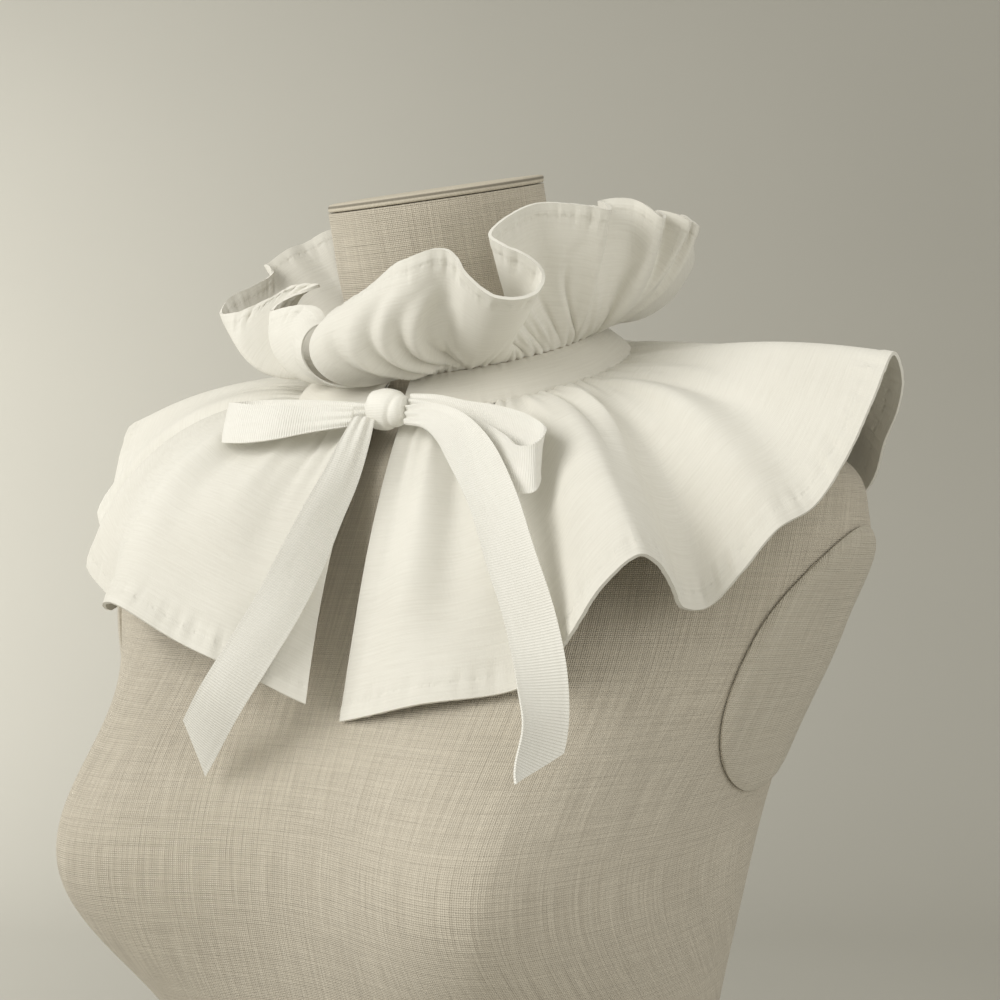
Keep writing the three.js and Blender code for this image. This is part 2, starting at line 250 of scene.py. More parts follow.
def linen_finish(name, light, shade):
    """Plain weave: two crossed sine rows, with thick and thin threads from stretched noise."""
    finish = Finish(name, 0.93, Sheen_Weight=0.15, Sheen_Roughness=0.6)
    spot = finish.cut()
    across, up, _ = finish.parts(spot)
    turn = 2 * np.pi / LINEN_PITCH
    slub_up = finish.noise(spot, 1.0, stretch=(900.0, 26.0, 1.0))
    slub_across = finish.noise(spot, 1.0, stretch=(26.0, 900.0, 1.0))
    warp = (across * turn).sine() * 0.5 + 0.5
    weft = (up * turn).sine() * 0.5 + 0.5
    cloth = finish.noise(finish.place(), 7.0, detail=3.0)
    tone = warp * weft * 0.42 + slub_up * 1.05 + slub_across * 0.6 - 0.52 + (cloth - 0.5) * 0.5
    finish.color(finish.mix(tone.clear(0.0, 0.85), shade, light))
    finish.bump(warp * 0.5 + weft * 0.5 + slub_up * 1.2 + slub_across * 1.2, depth=0.00035)
    return finish.material


def closed_form(floors, around):
    """Rings from the base to the neck cut, closer together low down, with a small ring in each flat end."""
    height = FORM_TOP * (np.arange(floors) / (floors - 1)) ** 0.9
    turn = 180 + 360 * np.arange(around) / around
    rings = form_skin(height[:, None] + 0 * turn, turn + 0 * height[:, None])
    low, top = rings[0], rings[-1]
    base_ring = low.mean(0) + (low - low.mean(0)) * END_RING
    top_ring = top.mean(0) + (top - top.mean(0)) * END_RING
    rings = np.concatenate([base_ring[None], rings, top_ring[None]])
    arc = np.linalg.norm(np.diff(rings, axis=1, append=rings[:, :1]), axis=2)
    u = np.concatenate([np.zeros((len(rings), 1)), np.cumsum(arc, 1)[:, :-1]], 1)
    u = u - u[:, around // 2][:, None]
    rise = np.linalg.norm(np.diff(rings, axis=0, prepend=rings[:1]), axis=2).mean(1)
    v = np.cumsum(rise)[:, None] + 0 * u
    points = rings.reshape(-1, 3)
    faces = ring_faces(len(rings), around)
    ends = [np.arange(around)[::-1], (len(rings) - 1) * around + np.arange(around)]
    return points, faces, np.stack([u, v], -1).reshape(-1, 2) * METRES, ends


def lay_closed(name, points, faces, uv, ends, sharp=50):
    """lay_mesh with a middle point and a fan of triangles on each end ring; each quad is split in two."""
    thirds = [faces[:, [0, 1, 2]], faces[:, [0, 2, 3]]]
    for number, ring in enumerate(ends):
        thirds.append(np.stack([ring, np.roll(ring, -1), np.full(len(ring), len(points) + number)], -1))
    points = np.concatenate([points, *(points[ring].mean(0)[None] for ring in ends)])
    uv = np.concatenate([uv, *(uv[ring].mean(0)[None] for ring in ends)])
    return lay_mesh(name, points, np.concatenate(thirds), uv, sharp)


form = lay_closed("linen_form", *closed_form(floors=170, around=220))
form.data.materials.append(linen_finish("linen_cover", LINEN, LINEN_SHADE))
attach(form, "root")
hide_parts("dress_form")

# ---- Neck cap --------------------------------------------------------------------------------------
# A linen-covered lid on the neck's cut, as wide as the neck, with a dark line where its edge turns under.

CAP_THICK = 4.0
CAP_AROUND = 160
CAP_LINEN = (0.45, 0.41, 0.33)
CAP_EDGE = (0.13, 0.115, 0.09)
CAP_LEAN = float(np.tan(np.radians(through(FORM_SECTIONS[:, 0], FORM_SECTIONS[:, 6], FORM_TOP))))
CAP_SEAM_Z = 0.70038 + 0.017 * CAP_LEAN  # metres: where the line's leant plane meets the axis
CAP_PROFILE = [
    # height over the cut, share of the neck's size
    (0.35, 0.97), (0.45, 0.99), (0.9, 1.0), (1.7, 1.003), (2.1, 1.0), (2.6, 1.003),
    (CAP_THICK - 0.8, 1.0), (CAP_THICK - 0.1, 0.99), (CAP_THICK + 0.35, 0.95), (CAP_THICK + 0.7, 0.7),
    (CAP_THICK + 0.8, 0.3),
]

cap_rim = form_skin(np.full(CAP_AROUND, FORM_TOP), 360 * np.arange(CAP_AROUND) / CAP_AROUND)
cap_middle = cap_rim.mean(0)
cap_points = np.concatenate([cap_middle + (cap_rim - cap_middle) * grow + [0, 0, lift]
                             for lift, grow in CAP_PROFILE])
cap_ends = [np.arange(CAP_AROUND)[::-1], (len(CAP_PROFILE) - 1) * CAP_AROUND + np.arange(CAP_AROUND)]
cap = lay_closed("linen_cap", cap_points, ring_faces(len(CAP_PROFILE), CAP_AROUND),
                 (cap_points[:, :2] + cap_points[:, 2:] * [[0, 1]]) * METRES, cap_ends)
cap_finish = Finish("linen_lid", 0.95)
grain = cap_finish.noise(cap_finish.cut(), 900.0, detail=3.0)
_, cap_y, cap_z = cap_finish.parts(cap_finish.place())
edge = 1 - (cap_z - cap_y * CAP_LEAN - CAP_SEAM_Z).size().clear(0.0003, 0.0009)
cap_finish.color(cap_finish.mix(edge * 0.75, cap_finish.mix(grain, CAP_LINEN, LINEN), CAP_EDGE))
cap_finish.bump(grain, depth=0.0003)
cap.data.materials.append(cap_finish.material)
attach(cap, "root")
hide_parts("neck_cap")

# ---- Arm plates ------------------------------------------------------------------------------------
# Oval plates where the arms would be, covered in the same linen and sewn on round the edge.

PLATE_THICK = 2.4
PLATE_OFF = 0.8
PLATE_HALF = {"z": 486, "tall": 55, "wide": 52, "turn": 88, "span": 24}  # middle, half sizes, half angle
PLATE_LINEN = (0.63, 0.585, 0.49)
PLATE_SHADE = (0.49, 0.445, 0.36)


def grid_faces(nu, nv):
    """Quads of an nu by nv grid of points."""
    i, j = np.meshgrid(np.arange(nu - 1), np.arange(nv - 1), indexing="ij")
    a = i * nv + j
    return np.stack([a, a + nv, a + nv + 1, a + 1], -1).reshape(-1, 4)


def cloth_wall(sheet, thick):
    """Closed wall over a grid of points: the sheet moved by thick/2 to each side and joined at its rim."""
    nu, nv = sheet.shape[:2]
    du, dv = np.gradient(sheet, axis=0), np.gradient(sheet, axis=1)
    normal = unit(np.cross(du, dv))
    thick = np.broadcast_to(thick, (nu, nv))[..., None]
    points = np.concatenate([(sheet + normal * thick / 2).reshape(-1, 3),
                             (sheet - normal * thick / 2).reshape(-1, 3)])
    top = grid_faces(nu, nv)
    low = nu * nv
    rim = np.concatenate([np.arange(nu) * nv, (nu - 1) * nv + np.arange(1, nv),
                          np.arange(nu - 2, -1, -1) * nv + nv - 1, np.arange(nv - 2, 0, -1)])
    after = np.roll(rim, -1)
    sides = np.stack([rim, low + rim, low + after, after], -1)
    return points, np.concatenate([top, low + top[:, ::-1], sides])


for side, word in ((1, "left"), (-1, "right")):
    steps = np.linspace(-1, 1, 41)
    a, b = np.meshgrid(steps, steps, indexing="ij")
    p, q = a * np.sqrt(1 - b * b / 2), b * np.sqrt(1 - a * a / 2)
    reach = np.sqrt(p * p + q * q)
    height = PLATE_HALF["z"] + PLATE_HALF["tall"] * q
    turn = side * (PLATE_HALF["turn"] - PLATE_HALF["span"] * p * side)
    lift = PLATE_OFF + PLATE_THICK / 2 - 0.9 * np.clip((reach - 0.9) / 0.1, 0, 1) ** 2
    plate_sheet = form_skin(height, turn) + form_out(height, turn) * lift[..., None]
    thick = PLATE_THICK - 1.2 * np.clip((reach - 0.93) / 0.07, 0, 1) ** 2
    points, faces = cloth_wall(plate_sheet, thick)
    flat = np.stack([p * PLATE_HALF["wide"], q * PLATE_HALF["tall"]], -1).reshape(-1, 2) * METRES
    plate = lay_mesh("linen_arm_plate_" + word, points, faces, np.concatenate([flat, flat]))
    plate.data.materials.append(linen_finish("linen_plate_" + word, PLATE_LINEN, PLATE_SHADE))
    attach(plate, "root")
    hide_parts("arm_plate_" + word)

# ---- Neckband --------------------------------------------------------------------------------------
# A straight strip of the cotton folded to a narrow band. It holds the gathered edges of the ruffle above
# and the flounce below, and stays open in front under the knot.

UPPER_SEAM = {"half": 68.5, "front": 46, "back": 65, "z": 609}
LOWER_SEAM = {"half": 84, "front": 58, "back": 79, "z": 591}
SEAM_MIDDLE = 9.0
SEAM_RISE = 0.385
COTTON = (0.80, 0.785, 0.725)
COTTON_SHADE = (0.70, 0.68, 0.615)
COTTON_PITCH = 0.00055  # metres from thread to thread
# The band's two tones are the frills' cotton painted darker: painted shade where the band lies under the
# ruffle.
BAND_COTTON_PAINTED_SHADE = (0.74, 0.72, 0.655)
BAND_SHADE_PAINTED_DARKER = (0.66, 0.635, 0.565)
BAND_WALL = 0.45
BAND_TALL = 18
BAND_OPEN = 5  # degrees from the middle of the front to each end
BAND_STEPS = 900


def seam_point(seam, at):
    """Egg-shaped ring: x = half*sin, y = middle +- reach*cos, z climbing from front to back."""
    across, ahead = np.sin(np.radians(at)), -np.cos(np.radians(at))
    reach = np.where(ahead < 0, seam["front"] + SEAM_MIDDLE, seam["back"] - SEAM_MIDDLE)
    y = SEAM_MIDDLE + reach * ahead
    return np.stack([seam["half"] * across, y, seam["z"] + (y + seam["front"]) * SEAM_RISE], -1)


def run_of(line):
    """Running length along a line of points."""
    return np.concatenate([[0], np.cumsum(np.linalg.norm(np.diff(line, axis=0), axis=1))])


def ripple(place, reach, pitch, seed):
    """Uneven folds along a line: sines of about the given pitch with seeded phases, about -1 to 1, whose
    spacing drifts over `reach` mm."""
    draw = np.random.default_rng(seed)
    total = 0.0 * place
    for share in (0.72, 0.9, 1.0, 1.17, 1.45):
        drift = 0.6 * np.sin(place / (reach * share) + draw.uniform(0, 6.3))
        total = total + np.sin(2 * np.pi * place / (pitch * share) + drift * 3 + draw.uniform(0, 6.3))
    return total / 3.2


def cotton_finish(name, light=COTTON, shade=COTTON_SHADE, hem_at=None):
    """Fine plain weave and faint slubs, a little greyer in the hollows of soft noise; hem_at sinks uneven
    dimples along the stitch line, that many metres from the band."""
    finish = Finish(name, 0.82, Sheen_Weight=0.12, Sheen_Roughness=0.5)
    spot = finish.cut()
    across, down, _ = finish.parts(spot)
    turn = 2 * np.pi / COTTON_PITCH
    weave = ((across * turn).sine() + (down * turn).sine()) * 0.25
    slub = finish.noise(spot, 1.0, stretch=(60.0, 1100.0, 1.0))
    crease = finish.noise(finish.place(), 45.0, detail=4.0)
    soft = finish.noise(finish.place(), 9.0, detail=3.0)
    finish.color(finish.mix((slub * 0.35 + soft * 0.65).clear(0.25, 0.7), shade, light))
    height = weave * 0.25 + slub * 0.6 + crease * 2.2
    if hem_at:
        line = 1 - (down - hem_at).size().clear(0.0, 0.0013)
        dimple = (finish.noise(spot, 1.0, detail=1.0, stretch=(420.0, 60.0, 1.0)) - 0.42).clear(0.0, 0.25)
        height = height - line * 1.1 * dimple
    finish.bump(height, depth=0.00022)
    return finish.material


band_at = np.linspace(BAND_OPEN, 360 - BAND_OPEN, BAND_STEPS)
band_fold = np.linspace(-1, 1, 41)[None]
band_t = 1 - np.abs(band_fold) ** 1.15
band_top, band_low = seam_point(UPPER_SEAM, band_at), seam_point(LOWER_SEAM, band_at)
band_long = run_of((band_top + band_low) / 2)
band_sheet = band_top[:, None] + (band_low - band_top)[:, None] * band_t[..., None]
band_out = unit(np.cross(np.gradient(band_top, axis=0), band_low - band_top))[:, None]
band_out = band_out * np.sign(band_out[BAND_STEPS // 2, 0, 1])
band_edges = np.exp(-band_t / 0.16) + np.exp((band_t - 1) / 0.16)
pucker = ripple(band_long, reach=30, pitch=5.0, seed=11)[:, None] * 0.3 * band_edges
crown = np.sin(np.pi * np.clip(band_t, 0, 1)) ** 0.7
layer = -np.sign(band_fold) * BAND_WALL * np.clip(np.abs(band_fold) / 0.06, 0, 1)
band_sheet = band_sheet + band_out * (pucker + 0.8 * crown * (band_fold < 0) + layer + 0.1)[..., None]
points, faces = cloth_wall(band_sheet, BAND_WALL)
flat = np.stack(np.meshgrid(band_long, (band_fold[0] + 1) * BAND_TALL, indexing="ij"), -1)
flat = flat.reshape(-1, 2) * METRES
band = lay_mesh("collar_band", points, faces, np.concatenate([flat, flat]))
# Painted shade: the band gets a darker copy of the cotton instead of the frills' colours.
band.data.materials.append(cotton_finish("cotton_band_painted_shade", BAND_COTTON_PAINTED_SHADE, BAND_SHADE_PAINTED_DARKER))
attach(band, "root")
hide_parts("neckband")

# ---- Flounce ---------------------------------------------------------------------------------------
# The deep lower frill, cut as a ring so that its hem is three times its neck edge. It is gathered into the
# band, runs out over the shoulders in a few large folds and drops from their crests; the hem is turned twice.

FLOUNCE_DEEP = 144.0
FLOUNCE_WALL = 0.8
FLOUNCE_HEM = 7.0
FLOUNCE_FOLDS = np.array([
    # leaves the band at, heads, rise at the band, rise at the hem (degrees)
    [6, 9, -52, -76], [21, 20, -46, -70], [33, 38, -41, -67], [39, 40, -30, -60],
    [44, 42, -16, -52], [48, 45, -8, -52], [51, 47, -6, -58], [54, 50, -8, -66], [58, 53, -13, -73],
    [64, 55, -17, -71], [70, 56, -13, -63], [76, 58, -6, -56], [82, 63, -3, -53], [88, 65, 0, -42],
    [93, 67, 3, -27], [98, 70, 4, -14], [104, 74, 4, -22], [111, 77, 4, -34], [119, 81, 3, -47],
    [129, 112, -4, -70], [138, 136, -22, -74], [148, 150, -8, -72], [158, 158, 0, -76],
    [168, 170, -26, -78], [178, 182, -36, -80], [188, 194, -8, -74], [198, 206, 2, -70],
    [208, 214, -20, -78], [218, 222, -34, -80], [228, 236, -10, -70], [240, 252, -2, -60],
    [252, 262, 8, -40], [265, 267, 8, -22], [273, 267, 7, -29], [281, 270, 9, -47],
    [288, 278, 9, -61], [294, 278, 3, -69], [299, 297, 3, -79], [304, 308, 2, -92],
    [310, 318, 2, -97], [316, 334, -5, -84], [321, 351, -22, -54], [332, 361, -27, -63],
    [343, 369, -33, -69], [354, 374, -44, -72],
])


def fold_lines(seam, folds, deep, nu, nv):
    """Cloth between fold lines: each leaves the seam at its angle and runs `deep` mm in its heading while its
    rise is rise0 + (rise1 - rise0) * t**late; x, y, z are running sums of cos and sin of that rise. Folds
    with a wider hem get more of the nu columns. Returns the grid of points and, for each, the length along
    its row and its depth."""
    rows = folds if folds.shape[1] == 5 else np.c_[folds, np.ones(len(folds))]

    def run(lines, count):
        at, head, rise0, rise1, late = (lines[:, k] for k in range(5))
        fine = 8
        t = (np.arange((count - 1) * fine) + 0.5) / ((count - 1) * fine)
        bend = t ** np.clip(late, 0.3, 6)[:, None]
        rise = np.radians(rise0[:, None] + (rise1 - rise0)[:, None] * bend)
        step = deep / len(t)
        out = np.concatenate([np.zeros((len(at), 1)), np.cumsum(np.cos(rise), 1) * step], 1)[:, ::fine]
        up = np.concatenate([np.zeros((len(at), 1)), np.cumsum(np.sin(rise), 1) * step], 1)[:, ::fine]
        head = np.radians(head)[:, None]
        start = seam_point(seam, at)[:, None]
        return start + np.stack([np.sin(head) * out, -np.cos(head) * out, up], -1)

    hems = run(rows, 6)[:, -1]
    along = np.concatenate([[0], np.cumsum(np.linalg.norm(np.diff(hems, axis=0), axis=1) ** 0.8 + 2)])
    s = np.linspace(0, along[-1], nu)
    lines = np.stack([through(along, rows[:, k], s) for k in range(5)], 1)
    sheet = run(lines, nv)
    gap = np.linalg.norm(np.diff(sheet, axis=0), axis=2)
    travel = np.concatenate([np.zeros((1, nv)), np.cumsum(gap, 0)])
    return sheet, travel, np.linspace(0, deep, nv)[None] + 0 * travel


def gathers(travel, depth, pitch, tall, reach, seed):
    """Height of the small gathers: a ripple of the seam's length that fades with depth as
    exp(-depth/reach), and a softer one that fades more slowly towards the hem."""
    near = travel[:, :1]
    fine = ripple(near, 40, pitch, seed) * tall * np.exp(-depth / reach)
    soft = ripple(near, 70, pitch * 3.1, seed + 1) * tall * 0.9 * np.exp(-depth / (reach * 2.6))
    return fine + soft * np.clip(depth / 6, 0, 1)


def turned_hem(travel, depth, deep, width, tall, seed):
    """Ripples where the hem's stitches draw the cloth in: strongest at that line, fading both ways."""
    line = np.exp(-((deep - depth - width) / (width * 0.75)) ** 2)
    edge = travel[:, -1:]
    return (ripple(edge, 9, 3.6, seed) * 0.6 + ripple(edge, 23, 9.0, seed + 1)) * tall * line


def creases(travel, depth, table):
    """Soft troughs and ridges that radiate from the gathers: each starts at `at`, the share of the travel,
    and swings by `swing` towards the hem; its height is tall * exp(-(off/wide)^2), from `start` to `end`."""
    share = travel / travel[-1:]
    part = depth / depth.max()
    total = 0 * depth
    for at, swing, wide, tall, start, end in table:
        off = (share - at - swing * part) / (wide * (0.35 + part))
        along = np.clip((part - start) / 0.15, 0, 1) * np.clip((end - part) / 0.3, 0, 1)
        total = total + tall * np.exp(-off ** 2) * along
    return total


def hem_wall(depth, deep, width, wall, fold):
    """Wall thickness: plain cloth, a crease at the stitch line, then the doubled hem."""
    into = depth - (deep - width)
    return wall + fold * np.clip(into / 0.6, 0, 1) - 0.35 * wall * np.exp(-(into / 0.7) ** 2)


def lay_cloth(name, sheet, travel, depth, deep, ripples, hem, wall, fold, finish, middle):
    """The sheet moved along its normal by its ripples, walled and laid down with UVs of the flat cloth, whose
    length is that of grid row `middle`."""
    normal = unit(np.cross(np.gradient(sheet, axis=0), np.gradient(sheet, axis=1)))
    sheet = sheet + normal * ripples[..., None]
    points, faces = cloth_wall(sheet, hem_wall(depth, deep, hem, wall, fold))
    flat = np.stack([travel[:, middle][:, None] + 0 * depth, depth], -1).reshape(-1, 2) * METRES
    piece = lay_mesh(name, points, faces, np.concatenate([flat, flat]), 60)
    piece.data.materials.append(finish)
    return piece


FLOUNCE_CREASES = [
    # at, swing to the hem (shares of the way round), width, height in mm, from and to share of the depth
    (0.012, -0.006, 0.008, 1.5, 0.0, 1.0), (0.035, -0.018, 0.010, -2.6, 0.0, 1.0),
    (0.052, -0.021, 0.010, 2.8, 0.0, 1.0), (0.072, -0.026, 0.010, -2.4, 0.0, 1.0),
    (0.092, -0.020, 0.009, 1.8, 0.0, 0.9), (0.114, -0.020, 0.008, -1.6, 0.0, 0.7),
    (0.136, -0.024, 0.008, 3.0, 0.0, 1.0), (0.146, -0.022, 0.006, -3.2, 0.0, 0.6),
    (0.158, -0.020, 0.007, 1.4, 0.0, 0.5), (0.178, -0.002, 0.007, -3.0, 0.0, 0.7),
    (0.190, 0.008, 0.007, 2.6, 0.0, 0.8), (0.206, -0.002, 0.006, -1.4, 0.0, 0.5),
    (0.240, -0.004, 0.008, 1.0, 0.0, 0.6), (0.300, 0.0, 0.014, 1.5, 0.1, 0.9),
    (0.360, 0.010, 0.014, -1.4, 0.1, 0.9), (0.440, 0.0, 0.012, 1.6, 0.0, 0.8),
    (0.520, 0.004, 0.012, -1.6, 0.1, 0.9), (0.600, 0.0, 0.012, 1.5, 0.0, 0.9),
    (0.665, 0.004, 0.010, -1.5, 0.0, 0.8), (0.725, 0.0, 0.010, 1.4, 0.0, 0.7),
    (0.775, 0.0, 0.008, -1.4, 0.0, 0.6), (0.893, 0.028, 0.010, -2.4, 0.2, 1.0),
    (0.905, 0.040, 0.010, 2.2, 0.0, 1.0), (0.940, 0.022, 0.010, -1.8, 0.0, 0.8),
    (0.964, 0.010, 0.008, 1.6, 0.0, 0.9), (0.986, 0.0, 0.007, -3.0, 0.0, 1.0),
    (0.998, 0.0, 0.005, 1.2, 0.0, 1.0),
]

cotton = cotton_finish("cotton_lawn", hem_at=(FLOUNCE_DEEP - FLOUNCE_HEM) * METRES)
sheet, travel, depth = fold_lines(LOWER_SEAM, FLOUNCE_FOLDS, FLOUNCE_DEEP, nu=760, nv=64)
ripples = (gathers(travel, depth, pitch=5.5, tall=0.9, reach=16, seed=21)
           + turned_hem(travel, depth, FLOUNCE_DEEP, FLOUNCE_HEM, tall=0.6, seed=31)
           + creases(travel, depth, FLOUNCE_CREASES))
flounce = lay_cloth("collar_flounce", sheet, travel, depth, FLOUNCE_DEEP, ripples, FLOUNCE_HEM,
                    FLOUNCE_WALL, fold=0.7, finish=cotton, middle=40)
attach(flounce, "root")
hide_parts("lower_flounce")

# ---- Ruffle ----------------------------------------------------------------------------------------
# The standing upper frill, half as deep. Its hem is about three times its seam on the band's upper edge, so
# it stands up and folds into tall loops round the neck.

RUFFLE_DEEP = 72.0
RUFFLE_WALL = 0.8
RUFFLE_HEM = 5.5
RUFFLE_SEAM = dict(UPPER_SEAM, z=UPPER_SEAM["z"] + 1.2)
RUFFLE_FOLDS = np.array([
    # leaves the band at, heads, rise at the band, rise at the hem, lateness of the bend
    [2, -54, -20, 184, 2], [5, -32, -13, 178, 2], [8, -10, -11, 156, 1.8], [11, 4, -8, 132, 1.5],
    [14, 18, -1, 92, 1.2], [19, 31, 23, 50, 1], [24, 33, 17, 31, 1], [28, 39, 11, 21, 1],
    [33, 47, 8, 26, 1], [38, 46, 9, 37, 1], [43, 37, 13, 43, 1], [48, 21, 18, 48, 1],
    [53, 10, 22, 52, 1], [58, 9, 33, 53, 1], [63, 18, 44, 58, 1], [68, 30, 35, 65, 1],
    [72, 38, 32, 62, 1], [75, 44, 25, 65, 1], [78, 47, 19, 107, 1], [83, 61, 24, 89, 1],
    [88, 64, 11, 72, 1], [91, 80, 8, 102, 1], [96, 78, 12, 67, 1], [99, 88, 8, 88, 1],
    [104, 86, 2, 77, 1], [110, 106, 5, 105, 1], [118, 122, 8, 96, 1], [126, 150, -8, 64, 1],
    [134, 143, 12, 90, 1], [143, 144, 40, 80, 1], [152, 152, 22, 48, 1], [161, 164, 42, 82, 1],
    [170, 170, 22, 50, 1], [179, 180, 42, 82, 1], [188, 190, 20, 48, 1], [197, 198, 40, 80, 1],
    [206, 208, 22, 48, 1], [215, 218, 40, 82, 1], [223, 232, 24, 52, 1], [231, 250, 40, 82, 1],
    [240, 274, 44, 74, 1], [248, 272, 50, 54, 1], [254, 276, 44, 54, 1], [260, 279, 32, 50, 1],
    [267, 276, 18, 72, 1], [274, 270, 6, 96, 1.2], [281, 273, 0, 86, 1.2], [288, 279, 4, 63, 1.2],
    [294, 282, -6, 70, 1.4], [300, 285, -20, 110, 1.5], [306, 280, -14, 146, 1.5],
    [312, 271, 2, 166, 1.5], [318, 262, 8, 186, 1.5], [324, 264, 0, 168, 1.5],
    [329, 270, -8, 138, 1.5], [334, 272, -12, 112, 1.5], [340, 277, -15, 126, 1.5],
    [346, 286, -17, 176, 1.6], [351, 296, -20, 192, 1.8], [357, 306, -20, 196, 2],
])

RUFFLE_CREASES = [
    # the same columns
    (0.024, 0.004, 0.006, -1.6, 0.0, 0.9), (0.038, 0.006, 0.006, 2.0, 0.0, 0.9),
    (0.048, 0.008, 0.005, -2.4, 0.0, 0.85), (0.057, 0.006, 0.005, 2.4, 0.0, 0.9),
    (0.064, 0.010, 0.005, -2.8, 0.0, 0.8), (0.069, 0.017, 0.005, 2.4, 0.0, 0.8),
    (0.076, 0.022, 0.005, -2.2, 0.0, 0.7), (0.088, 0.022, 0.005, 1.4, 0.0, 0.7),
    (0.145, 0.013, 0.004, -1.8, 0.0, 0.7), (0.156, 0.012, 0.004, 1.6, 0.0, 0.7),
    (0.167, 0.010, 0.004, -1.8, 0.0, 0.7), (0.178, 0.008, 0.004, 1.4, 0.0, 0.7),
    (0.192, 0.004, 0.004, -1.4, 0.0, 0.7), (0.213, -0.001, 0.003, -1.6, 0.0, 0.8),
    (0.234, 0.012, 0.005, 1.2, 0.0, 0.8), (0.248, 0.020, 0.004, -1.6, 0.0, 0.8),
    (0.300, 0.030, 0.005, -1.2, 0.0, 0.7), (0.420, 0.044, 0.006, 1.2, 0.0, 0.8),
    (0.510, 0.065, 0.006, -1.2, 0.0, 0.8), (0.585, 0.080, 0.006, 1.2, 0.0, 0.8),
    (0.655, 0.100, 0.006, -1.2, 0.0, 0.8), (0.720, 0.080, 0.005, 1.0, 0.0, 0.6),
    (0.800, 0.050, 0.004, -0.8, 0.0, 0.5), (0.860, 0.040, 0.004, 0.8, 0.0, 0.5),
]

ruffle_cotton = cotton_finish("cotton_ruffle", hem_at=(RUFFLE_DEEP - RUFFLE_HEM) * METRES)
sheet, travel, depth = fold_lines(RUFFLE_SEAM, RUFFLE_FOLDS, RUFFLE_DEEP, nu=980, nv=48)
ripples = (gathers(travel, depth, pitch=4.6, tall=0.75, reach=12, seed=41)
           + turned_hem(travel, depth, RUFFLE_DEEP, RUFFLE_HEM, tall=0.45, seed=51)
           + creases(travel, depth, RUFFLE_CREASES))
ruffle = lay_cloth("collar_ruffle", sheet, travel, depth, RUFFLE_DEEP, ripples, RUFFLE_HEM,
                   RUFFLE_WALL, fold=0.6, finish=ruffle_cotton, middle=30)
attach(ruffle, "root")
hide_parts("upper_ruffle")

# ---- Bow -------------------------------------------------------------------------------------------
# Fine ribbed ribbon, 19 mm wide, tied in front: a knot, two flat loops and two tails cut on a slant.

RIBBON = (0.88, 0.87, 0.82)
RIBBON_SHADE = (0.79, 0.775, 0.715)
RIBBON_WALL = 0.7
RIBBON_WIDE = 19
RIB_PITCH = 0.0011  # metres from rib to rib
LEFT_TAIL = np.array([
    # x, y, z of the middle, turn and lift of the width, width
    [1, -77.8, 588, 28, -10, 9], [3, -87, 578, 32, -18, 12], [4, -99, 562, 42, -24, 15],
    [3, -110, 547, 46, -26, 17], [1, -122, 528, 42, -27, 19], [-2, -134, 509, 34, -30, 19],
    [-8, -144, 491, 28, -31, 19], [-18, -149, 473, 28, -34, 19], [-35, -144, 452, 28, -42, 19],
])
RIGHT_TAIL = np.array([
    [18.6, -72.5, 589.5, 90, 74, 8], [39, -85, 587, 60, 60, 12], [54, -94, 581, 42, 46, 16],
    [67, -102, 571, 32, 32, 19], [82, -111, 553, 24, 22, 19], [96, -121, 529, 26, 16, 19],
    [108, -128, 506, 28, 13, 19], [116, -134, 484, 42, 2, 19], [119, -138, 467, 58, -14, 19],
    [117, -141, 453, 60, -26, 19],
])
LEFT_LOOP = np.array([
    [-1.4, -71.5, 592, 90, 78, 8], [-24, -74, 592, 90, 72, 12], [-47, -77, 591, 90, 70, 17],
    [-64, -79, 590, 90, 72, 19], [-69, -84, 589, 90, 74, 19], [-62, -89, 588, 90, 74, 19],
    [-51, -90, 587, 90, 72, 18], [-38, -89, 587, 90, 72, 16], [-24, -84, 588, 90, 74, 12],
    [-4, -79, 589, 90, 78, 8],
])
RIGHT_LOOP = np.array([
    [18.6, -68.5, 595, 90, 68, 8], [34, -73, 592, 90, 62, 12], [50, -78, 587, 90, 56, 16],
    [68, -83, 582, 90, 60, 19], [88, -91, 575, 80, 72, 19], [98, -98, 568, 50, 84, 19],
    [97, -103, 563, 10, 88, 19], [88, -102, 563, 14, 80, 18], [78, -97, 569, 26, 66, 16],
    [66, -91, 576, 36, 54, 14], [51, -84, 583, 50, 54, 12], [35, -78, 589, 70, 62, 9],
])
KNOT_SECTIONS = np.array([
    # x, half height, half depth
    [-9, 5.5, 4], [-7.5, 7.5, 5.5], [-4, 8.6, 6.6], [1, 8.8, 7], [5, 8, 6.4], [8.5, 6.6, 5.4],
    [10, 5, 4],
])
KNOT_AT = (8, -70, 592.5)


def ribbon_finish(name, ribbed=1.0):
    """Cross ribs over the width and soft greyer wear."""
    finish = Finish(name, 0.6, Sheen_Weight=0.25, Sheen_Roughness=0.35)
    spot = finish.cut()
    _, down, _ = finish.parts(spot)
    rib = (down * (2 * np.pi / RIB_PITCH)).sine() * 0.5 + 0.5
    worn = finish.noise(spot, 1.0, stretch=(500.0, 90.0, 1.0))
    soft = finish.noise(finish.place(), 22.0, detail=3.0)
    tone = rib * (0.22 * ribbed) + worn * 0.25 + soft * 0.6
    finish.color(finish.mix(tone.clear(0.2, 0.8), RIBBON_SHADE, RIBBON))
    finish.bump(rib * ribbed + worn * 0.4, depth=0.00018)
    return finish.material


